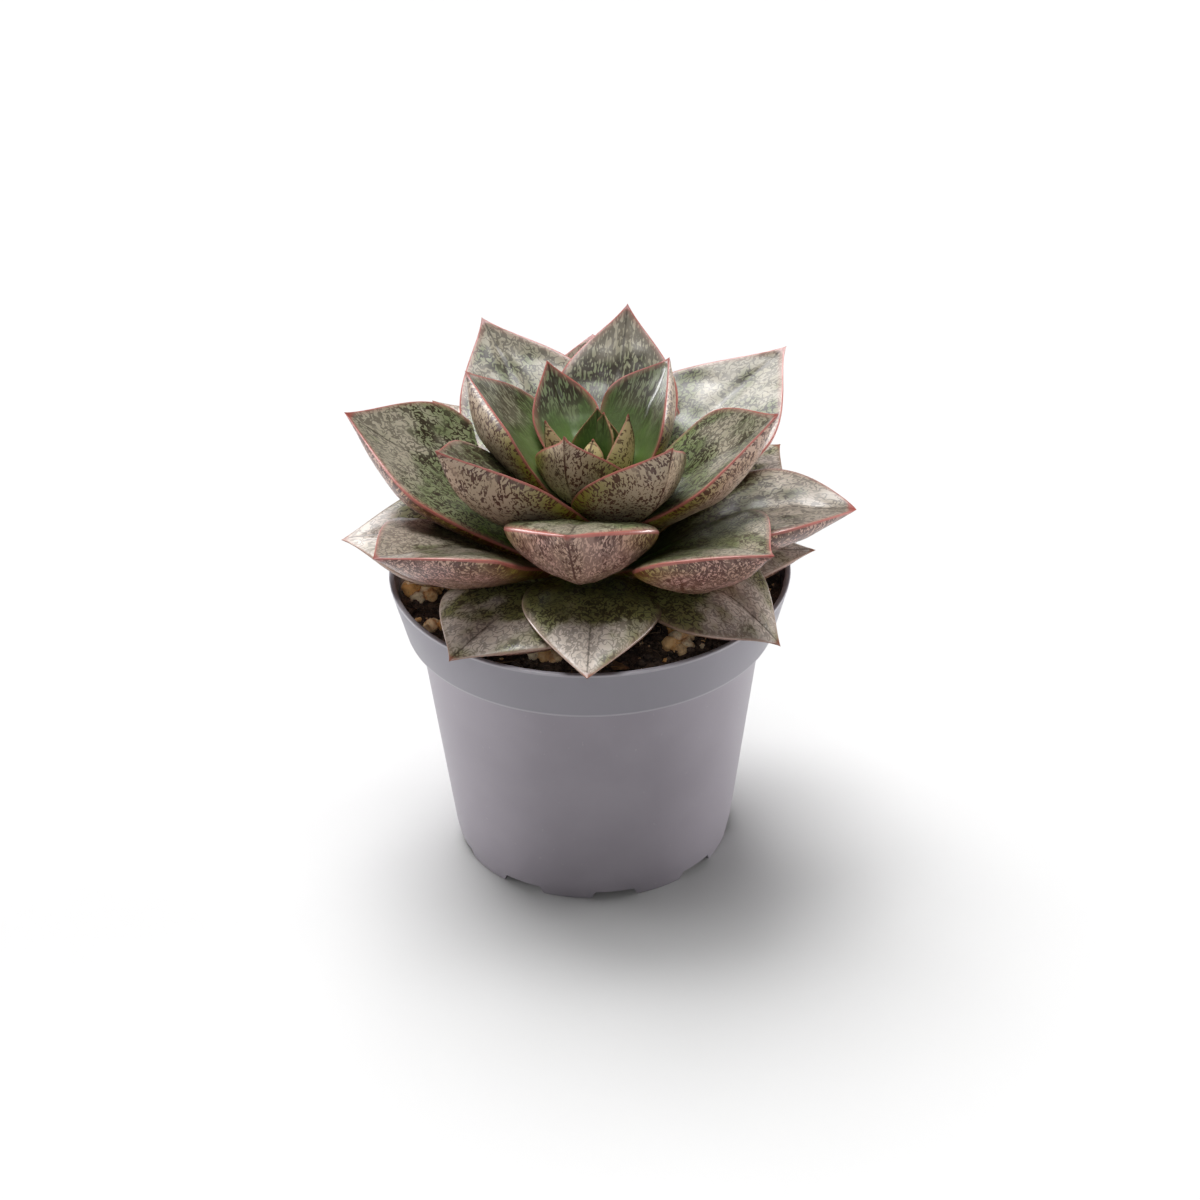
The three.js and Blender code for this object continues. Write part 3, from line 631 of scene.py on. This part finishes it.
def linear(hex_colour):
    """An sRGB hex colour as linear red, green, blue and alpha."""
    channels = [int(hex_colour[i:i + 2], 16) / 255 for i in (1, 3, 5)]
    return [c / 12.92 if c <= 0.04045 else ((c + 0.055) / 1.055) ** 2.4 for c in channels] + [1.0]


def feed(tree, socket, value):
    """Links a socket to another node's output, or sets it to a number, a vector or a hex colour."""
    if isinstance(value, bpy.types.NodeSocket):
        tree.links.new(value, socket)
    else:
        socket.default_value = linear(value) if isinstance(value, str) else value


def add(tree, kind, settings=None, **inputs):
    """Adds a node, sets its properties and then its inputs, each a value or another node's output; returns
    the node. An input is named by its socket, with _ for a space, or by in0, in1 ... for its place."""
    made = tree.nodes.new(kind)
    for key, value in (settings or {}).items():
        setattr(made, key, value)
    for key, value in inputs.items():
        placed = key[:2] == "in" and key[2:].isdigit()
        feed(tree, made.inputs[int(key[2:]) if placed else key.replace("_", " ")], value)
    return made


class Paint:
    """A material's node tree, with short ways to write sums and blends of its values."""

    def __init__(self, name):
        self.material = bpy.data.materials.new(name)
        self.material.use_nodes = True
        self.tree = self.material.node_tree
        self.shader = self.tree.nodes["Principled BSDF"]

    def math(self, operation, a, b=0.0, clamp=False):
        settings = dict(operation=operation, use_clamp=clamp)
        return add(self.tree, "ShaderNodeMath", settings, in0=a, in1=b).outputs[0]

    def times(self, a, b):
        return self.math("MULTIPLY", a, b)

    def between(self, share, a, b):
        """Number a carried towards number b by share."""
        return self.math("ADD", self.times(b, share), self.times(a, self.math("SUBTRACT", 1.0, share)))

    def ramp(self, value, low, high, to_low=0.0, to_high=1.0):
        """value carried smoothly from low..high to to_low..to_high and held beyond them."""
        settings = dict(interpolation_type="SMOOTHSTEP")
        made = add(self.tree, "ShaderNodeMapRange", settings,
                   in0=value, in1=low, in2=high, in3=to_low, in4=to_high)
        return made.outputs[0]

    def blend(self, share, a, b):
        """Colour a towards colour b by share."""
        made = self.tree.nodes.new("ShaderNodeMix")
        made.data_type, made.clamp_factor = "RGBA", True
        for socket, value in ((0, share), (6, a), (7, b)):
            feed(self.tree, made.inputs[socket], value)
        return made.outputs[2]

    def attribute(self, name):
        return add(self.tree, "ShaderNodeAttribute", dict(attribute_name=name)).outputs["Vector"]

    def place(self):
        """Where a point is on the object, in metres."""
        return add(self.tree, "ShaderNodeTexCoord").outputs["Object"]

    def split(self, vector):
        return add(self.tree, "ShaderNodeSeparateXYZ", None, in0=vector).outputs

    def noise(self, vector, scale=1.0, detail=2.0, roughness=0.5, distortion=0.0):
        made = add(self.tree, "ShaderNodeTexNoise", None, Vector=vector, Scale=scale, Detail=detail,
                   Roughness=roughness, Distortion=distortion)
        return made.outputs["Fac"]

    def pattern(self, vector, spread, **settings):
        """Noise over a vector that is first multiplied by spread, axis by axis."""
        multiply = dict(operation="MULTIPLY")
        spread_out = add(self.tree, "ShaderNodeVectorMath", multiply, in0=vector, in1=spread).outputs[0]
        return self.noise(spread_out, **settings)

    def finish(self, colour, roughness, bump=None, height=0.0, strength=1.0):
        """Sets the shader's colour, roughness and bump, where a bump of 1 stands height above one of 0."""
        feed(self.tree, self.shader.inputs["Base Color"], colour)
        feed(self.tree, self.shader.inputs["Roughness"], roughness)
        if bump is not None:
            made = add(self.tree, "ShaderNodeBump", None, Strength=strength, Distance=height, Height=bump)
            self.tree.links.new(made.outputs[0], self.shader.inputs["Normal"])
        return self.material


def leaf_patterns(paint):
    """What the leaf's attributes say of a place on it, and its patterns of noise. A pattern's coordinates are
    in mm over the size of a mark, drawn out along the blade; the comb runs inwards from the margins."""
    blade = paint.attribute("blade")
    _, along_mm, number = paint.split(blade)
    s, margin_mm, upper = paint.split(paint.attribute("zone"))
    keel_mm, _, youth = paint.split(paint.attribute("keel"))
    inward = add(paint.tree, "ShaderNodeCombineXYZ", None, in0=margin_mm, in1=along_mm, in2=number).outputs[0]
    return SimpleNamespace(
        s=s, margin_mm=margin_mm, upper=upper, keel_mm=keel_mm, youth=youth,
        worm=paint.pattern(blade, (1 / 1.25, 1 / 1.8, 1.0), detail=0.0, distortion=0.9),
        streak=paint.pattern(blade, (1 / 0.75, 1 / 3.6, 1.0), detail=1.0, distortion=0.5),
        dash=paint.pattern(blade, (1 / 0.52, 1 / 0.95, 1.3), detail=0.3, distortion=0.9),
        comb=paint.pattern(inward, (1 / 2.6, 1 / 0.62, 1.7), detail=1.0, distortion=0.4),
        broad=paint.pattern(blade, (1 / 9.0, 1 / 13.0, 1.0)),
        patch=paint.pattern(blade, (1 / 4.0, 1 / 7.0, 2.0)),
        pores=paint.pattern(blade, (1 / 0.5, 1 / 0.9, 1.0)),
    )


def upper_face(paint, look, at):
    """The upper face's colour, the dark worms on it and the net that they make there. It is yellow-green at
    the root and darker outwards; a pale waxy glare, partly the leaf's farina and partly painted highlight,
    half hides the net, which runs into streaks on the young leaves."""
    # the pale waxy glare, partly the leaf's farina and partly painted highlight, grows towards the outer part
    # of the blade and fades on the young leaves
    wax_and_glare = paint.math("ADD", at.broad, paint.ramp(at.s, look["wax_and_glare_from"], look["wax_and_glare_to"], -0.2, 0.1))
    wax_and_glare = paint.ramp(wax_and_glare, 0.38, 0.62, 0.0, look["wax_and_glare_strength"])
    wax_and_glare = paint.times(wax_and_glare, paint.ramp(at.youth, 0.6, 0.74, 1.0, 0.25))

    green = paint.blend(paint.ramp(at.s, 0.12, look["green_to"]), look["green_root"], look["green_far"])
    green = paint.blend(paint.ramp(at.patch, 0.35, 0.65, 0.0, 0.5), green, look["green_patch"])
    green = paint.blend(paint.ramp(at.youth, 0.58, 0.72, 0.0, 0.75), green, look["green_young"])
    green = paint.blend(paint.ramp(at.youth, 0.22, 0.42, 0.8, 0.0), green, look["green_old"])

    mixed = paint.between(paint.ramp(at.youth, 0.5, 0.66), at.worm, at.streak)
    worms = paint.ramp(paint.math("ABSOLUTE", paint.math("SUBTRACT", mixed, 0.5)), 0.065, 0.12, 1.0, 0.0)
    outward = paint.math("SUBTRACT", at.s, paint.ramp(at.youth, 0.5, 0.7, 0.0, 0.3))
    net = paint.times(worms, paint.ramp(outward, 0.12, 0.42, look["net_root"], look["net"]))
    net = paint.times(net, paint.ramp(at.patch, 0.3, 0.5, 0.6, 1.0))
    net_seen = paint.times(net, paint.ramp(wax_and_glare, 0.0, 0.6, 1.0, 0.6))
    blush = paint.ramp(at.margin_mm, 0.4, 2.6, look["blush"], 0.0)
    # painted shade: a dark line down the groove along the middle of the upper face, on its outer part
    painted_groove_shade = paint.times(paint.ramp(at.keel_mm, 0.08, 0.4, 0.6, 0.0), paint.ramp(at.s, 0.45, 0.75))

    # lay the pale waxy glare, farina and painted highlight together, over the green
    colour = paint.blend(wax_and_glare, green, look["wax_and_glare_colour"])
    colour = paint.blend(net_seen, colour, look["net_colour"])
    colour = paint.blend(blush, colour, look["blush_colour"])
    return paint.blend(painted_groove_shade, colour, look["net_colour"]), worms, net


def underside(paint, look, at, worms):
    """The underside's colour and the dark marks on it. It is pale and pinkish, yellow-green near the root's
    margins, with dashes that turn inwards along the margin and a dark line on the keel; the older leaves have
    worms among the dashes."""
    colour = paint.blend(paint.ramp(at.s, 0.15, 0.62), look["under_root"], look["under_far"])
    colour = paint.blend(paint.ramp(at.broad, 0.35, 0.65, 0.0, 0.6), colour, look["under_patch"])
    colour = paint.blend(paint.ramp(at.youth, 0.4, 0.62, 0.0, 0.7), colour, look["under_young"])
    yellow = paint.times(paint.ramp(at.margin_mm, 1.0, 8.0, 1.0, 0.0), paint.ramp(at.s, 0.4, 0.85, 1.0, 0.0))
    colour = paint.blend(paint.times(yellow, look["yellow"]), colour, look["yellow_colour"])

    marks = paint.between(paint.ramp(at.margin_mm, 0.8, 3.4, 0.8, 0.0), at.dash, at.comb)
    sparse_inside = paint.ramp(at.margin_mm, 1.0, 9.0, -0.03, 0.012)
    sparse = paint.math("ADD", sparse_inside, paint.ramp(at.youth, 0.42, 0.62, 0.0, 0.022))
    limit = paint.math("ADD", sparse, look["dash_limit"])
    dashes = paint.math("DIVIDE", paint.math("SUBTRACT", marks, limit), 0.022, clamp=True)
    dashes = paint.times(dashes, paint.ramp(at.patch, 0.3, 0.5, 0.5, 1.0))
    loops = paint.times(worms, paint.ramp(at.youth, 0.42, 0.56, 0.85, 0.0))
    dashes = paint.times(paint.math("MAXIMUM", dashes, loops), look["dash"])
    pigment = paint.blend(paint.ramp(at.s, 0.25, 0.7), look["dash_root"], look["dash_colour"])
    colour = paint.blend(dashes, colour, pigment)

    line = paint.times(paint.ramp(at.keel_mm, 0.1, 0.42, 1.0, 0.0), paint.ramp(at.s, 0.25, 0.45))
    line = paint.times(line, paint.ramp(at.patch, 0.34, 0.5, 0.3, look["keel"]))
    return paint.blend(line, colour, look["dash_colour"]), dashes


# Live succulent leaf: a smooth cuticle under a thin waxy farina, which greys the colour and shines where the
# light grazes it; the pale glare over the outer part of the upper faces is partly that farina and partly
# painted highlight. The dark worms and dashes are pigment under the skin, and the margins are flushed red.
def leaf_skin(name, look):
    paint = Paint(name)
    at = leaf_patterns(paint)
    topside, worms, net = upper_face(paint, look, at)
    under, dashes = underside(paint, look, at, worms)
    colour = paint.blend(at.upper, under, topside)

    edge = paint.math("ADD", at.margin_mm, paint.times(paint.math("SUBTRACT", at.patch, 0.5), 0.6))
    edge = paint.ramp(edge, look["margin_width"] * 0.7, look["margin_width"] * 1.3, look["margin"], 0.0)
    edge = paint.times(edge, paint.ramp(at.s, 0.02, 0.3, 0.45, 1.0))
    colour = paint.blend(edge, colour, look["margin_colour"])
    colour = paint.blend(paint.ramp(at.s, 0.955, 0.985), colour, look["point_colour"])
    colour = paint.blend(paint.ramp(at.s, 0.0, 0.12, 0.6, 0.0), colour, look["foot_colour"])

    rough = paint.ramp(at.broad, 0.3, 0.7, look["roughness"] - 0.05, look["roughness"] + 0.07)
    relief = paint.math("SUBTRACT", at.pores, paint.times(paint.math("MAXIMUM", dashes, net), 0.3))
    coat = paint.times(paint.ramp(at.broad, 0.35, 0.6, 0.35, 0.85), paint.ramp(at.upper, 0.0, 1.0, 0.4, 1.0))
    paint.tree.links.new(coat, paint.shader.inputs["Coat Weight"])
    paint.shader.inputs["IOR"].default_value = 1.45
    paint.shader.inputs["Coat Roughness"].default_value = 0.21
    return paint.finish(colour, rough, relief, height=0.08 * MM, strength=0.8)


# Colours, strengths from 0 to 1 and widths in mm; green_to and where the pale waxy glare starts and ends are
# shares of the length. That glare is partly farina and partly painted highlight.
LEAF_LOOK = dict(
    green_root="#6f9228", green_far="#6a7250", green_patch="#87896a", green_young="#496530",
    green_old="#4c4636", green_to=0.6,
    wax_and_glare_from=0.4, wax_and_glare_to=0.85, wax_and_glare_strength=0.5, wax_and_glare_colour="#bbaca1",
    net_root=0.1, net=0.97, net_colour="#261a0d", blush=0.45, blush_colour="#a37266",
    under_root="#9b983a", under_far="#bc9186", under_patch="#ad9079", under_young="#b0a48a",
    yellow=0.9, yellow_colour="#958b22",
    dash_limit=0.512, dash=0.93, dash_root="#66230f", dash_colour="#431a0e", keel=0.95,
    margin_width=0.52, margin=0.9, margin_colour="#a85e54", point_colour="#8f453c", foot_colour="#93a54d",
    roughness=0.4,
)
LOOKS = {
    "leaf": LEAF_LOOK,
    "old_leaf": {
        # the old, low leaves' root green is made lighter as painted light, standing in for light that hardly
        # reaches them under the upper leaves
        **LEAF_LOOK, "green_root": "#667b2a", "green_far": "#757250", "green_patch": "#8c866c",
        "green_old": "#7f8352", "wax_and_glare_to": 0.8, "wax_and_glare_strength": 0.8, "wax_and_glare_colour": "#dacdc5",
        "net_root": 0.85, "net": 0.85, "blush_colour": "#8b7663", "under_far": "#a37c71",
        "margin_width": 0.5, "margin": 0.75, "margin_colour": "#9a7c6e", "point_colour": "#86543f",
    },
    "young_leaf": {
        **LEAF_LOOK, "green_root": "#86a940", "green_young": "#668544", "wax_and_glare_strength": 0.2, "net": 0.4,
        "under_root": "#c0c463", "under_far": "#dcb493", "under_young": "#cfc08a", "yellow": 0.3,
        "dash_limit": 0.56, "dash": 0.8, "margin_colour": "#c08e72", "margin_width": 0.4, "blush": 0.15,
    },
}


# Injection-moulded polypropylene, grey with a little violet: satin, slightly uneven from the mould, with a
# few specks of dust. The collar is painted a shade darker and colder as painted shade under the leaves, and
# its two edges carry thin pale bands of painted highlight.
def moulded_polypropylene():
    paint = Paint("moulded_polypropylene")
    where = paint.place()
    cloud = paint.noise(where, scale=1 / (22 * MM), detail=3.0)
    dust = paint.noise(where, scale=1 / (0.9 * MM), detail=0.0)
    grain = paint.noise(where, scale=1 / (0.45 * MM), detail=1.0)
    colour = paint.blend(paint.ramp(cloud, 0.3, 0.7), "#8b858d", "#928c94")
    colour = paint.blend(paint.ramp(dust, 0.82, 0.86, 0.0, 0.15), colour, "#bdb9ba")
    level = paint.split(where)[2]
    # painted shade: the collar darker and colder where the leaves overhang it
    collar = paint.ramp(level, STEP_HEIGHT * MM, (STEP_HEIGHT + 0.3) * MM, 0.0, 0.75)
    colour = paint.blend(collar, colour, "#807e85")
    # painted highlights: thin pale bands just above the step and just below the rim's top
    for edge in (STEP_HEIGHT + 0.5, POT_HEIGHT - 0.35):
        away = paint.math("ABSOLUTE", paint.math("SUBTRACT", level, edge * MM))
        colour = paint.blend(paint.ramp(away, 0.15 * MM, 0.45 * MM, 0.4, 0.0), colour, "#bcb8be")
    rough = paint.ramp(cloud, 0.3, 0.7, 0.4, 0.47)
    paint.shader.inputs["IOR"].default_value = 1.49
    return paint.finish(colour, rough, grain, height=0.02 * MM, strength=0.5)


# Black peat with bark crumbs: matt, dark when damp, with paler dry crumbs.
def damp_peat():
    paint = Paint("damp_peat")
    where = paint.place()
    crumbs = paint.noise(where, scale=1 / (2.4 * MM), detail=4.0, roughness=0.65)
    fine = paint.noise(where, scale=1 / (0.7 * MM))
    colour = paint.blend(paint.ramp(crumbs, 0.35, 0.65), "#2f2620", "#5f4d40")
    colour = paint.blend(paint.ramp(fine, 0.55, 0.72, 0.0, 0.7), colour, "#7d6a59")
    relief = paint.math("ADD", crumbs, paint.times(fine, 0.5))
    return paint.finish(colour, 0.88, relief, height=0.8 * MM)


# Dry root fibre: dull, straw to brown.
def dry_fibre():
    paint = Paint("dry_fibre")
    where = paint.place()
    shade = paint.noise(where, scale=1 / (3.0 * MM), detail=1.0)
    return paint.finish(paint.blend(paint.ramp(shade, 0.35, 0.65), "#4e3b2c", "#8c745a"), 0.8)


# Withered leaf: paper dry, mottled brown with darker veins.
def dead_leaf():
    paint = Paint("dead_leaf")
    blade = paint.attribute("blade")
    veins = paint.pattern(blade, (1 / 3.5, 1 / 0.5, 1.0))
    mottle = paint.pattern(blade, (1 / 1.8, 1 / 1.4, 1.0))
    colour = paint.blend(paint.ramp(mottle, 0.35, 0.65), "#6a4a31", "#9a7650")
    colour = paint.blend(paint.ramp(veins, 0.5, 0.62, 0.0, 0.7), colour, "#3f2b1d")
    return paint.finish(colour, 0.8, veins, height=0.3 * MM)


# Young stem bark: fleshy green-brown, dull, with pale leaf scars.
def fleshy_bark():
    paint = Paint("fleshy_bark")
    where = paint.place()
    scars = paint.pattern(where, (1.0, 1.0, 3.0), scale=1 / (4.0 * MM))
    colour = paint.blend(paint.ramp(scars, 0.4, 0.62), "#6d7047", "#8f8a63")
    return paint.finish(colour, 0.7, scars, height=0.4 * MM)


# Pumice and baked clay grit: rough, full of pits, from cream to orange tan; the pits are painted darker as
# painted shade in the hollows.
def pitted_pumice():
    paint = Paint("pitted_pumice")
    tint = paint.split(paint.attribute("grain"))[0]
    where = paint.place()
    stain = paint.noise(where, scale=1 / (2.2 * MM), detail=3.0)
    pits = paint.noise(where, scale=1 / (0.55 * MM))
    colour = paint.blend(tint, "#f8e3c0", "#efb973")
    colour = paint.blend(paint.ramp(stain, 0.45, 0.7, 0.0, 0.7), colour, "#c98a4a")
    # painted shade: the pits darker brown
    colour = paint.blend(paint.ramp(pits, 0.3, 0.4, 0.5, 0.0), colour, "#7d5836")
    return paint.finish(colour, 0.85, pits, height=0.35 * MM)


# Seamless paper: matt and even, light grey, so that only the shadow shows on it under the studio's light.
def seamless_paper():
    return Paint("seamless_paper").finish("#c9c9c9", 0.9)


# ---------------- camera, floor and light

def make_camera():
    """The camera stands in the upright plane through its aim, in front and above, and rolls a little."""
    elevation = math.radians(CAMERA["elevation"])
    aim = Vector(CAMERA["aim"]) * MM
    back = Vector((0, -math.cos(elevation), math.sin(elevation))) * CAMERA["distance"] * MM
    data = bpy.data.cameras.new("camera")
    data.lens, data.sensor_width = CAMERA["lens"], 36
    data.clip_start, data.clip_end = 0.05, 20
    camera = in_scene("camera", data)
    tilt = Matrix.Rotation(TAU / 4 - elevation, 4, "X")
    roll = Matrix.Rotation(math.radians(CAMERA["roll"]), 4, "Z")
    camera.matrix_world = Matrix.Translation(aim + back) @ tilt @ roll
    bpy.context.scene.camera = camera


def make_floor():
    """A large square of paper on Z = 0."""
    mesh = bpy.data.meshes.new("floor")
    far = FLOOR_REACH * MM
    mesh.from_pydata([(-far, -far, 0), (far, -far, 0), (far, far, 0), (-far, far, 0)], [], [(0, 1, 2, 3)])
    mesh.materials.append(seamless_paper())
    floor = in_scene("floor", mesh)


def place_light(name, data, place, direction):
    """A light at place that shines in the given direction."""
    light = in_scene(name, data)
    light.matrix_world = Matrix.Translation(place) @ direction.to_track_quat("-Z", "Y").to_matrix().to_4x4()


def softbox(name, place, size, power):
    """A rectangular area light at place that faces the plant."""
    data = bpy.data.lights.new(name, "AREA")
    data.shape, data.size, data.size_y = "RECTANGLE", size[0] * MM, size[1] * MM
    data.energy = power
    stand = Vector(place) * MM
    place_light(name, data, stand, Vector(SOFTBOX_AIM) * MM - stand)


def soft_sun(name, direction, energy, degrees):
    """A light from far off in the given direction that looks as wide as the given angle."""
    data = bpy.data.lights.new(name, "SUN")
    data.energy, data.angle = energy, math.radians(degrees)
    place_light(name, data, Vector(), -Vector(direction))


def make_light():
    """A large soft light high behind the plant, a smaller one overhead, a weak one from the front, a low box
    at each side and a bright backdrop. The world's brightness rises with how far a direction points to the
    back (Y), with a band of light low down all round, where the paper sweeps up."""
    for sun in SUNS:
        soft_sun(**sun)
    for box in SOFTBOXES:
        softbox(**box)
    world = bpy.data.worlds.new("studio")
    world.use_nodes = True
    tree = world.node_tree
    direction = add(tree, "ShaderNodeTexCoord").outputs["Generated"]
    _, back, up = add(tree, "ShaderNodeSeparateXYZ", None, in0=direction).outputs
    smooth_range = dict(interpolation_type="SMOOTHSTEP")
    behind = add(tree, "ShaderNodeMapRange", smooth_range, in0=back, in1=-0.3, in2=0.6, in3=0.04, in4=1.0)
    low = add(tree, "ShaderNodeMapRange", smooth_range, in0=up, in1=0.0, in2=0.6, in3=0.7, in4=0.0)
    level = add(tree, "ShaderNodeMath", dict(operation="ADD"), in0=behind.outputs[0], in1=low.outputs[0])
    tree.links.new(level.outputs[0], tree.nodes["Background"].inputs["Strength"])
    bpy.context.scene.world = world
    bpy.context.scene.view_settings.view_transform = "Standard"
    bpy.context.scene.view_settings.look = "None"


# ---------------- assembly

make_camera()
make_floor()
make_light()
make_pot(moulded_polypropylene())
peat, pumice = damp_peat(), pitted_pumice()
make_soil(peat)
make_grit(pumice)
make_crumbs("peat_crumbs", CRUMBS, peat)
make_crumbs("fine_grit", FINE_GRIT, pumice)
make_fibres(dry_fibre())
make_withered_leaf(dead_leaf())
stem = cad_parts["stem"]
stem.data.materials.clear()
stem.data.materials.append(fleshy_bark())
make_leaves({slot: leaf_skin(f"waxy_{slot}", look) for slot, look in LOOKS.items()})
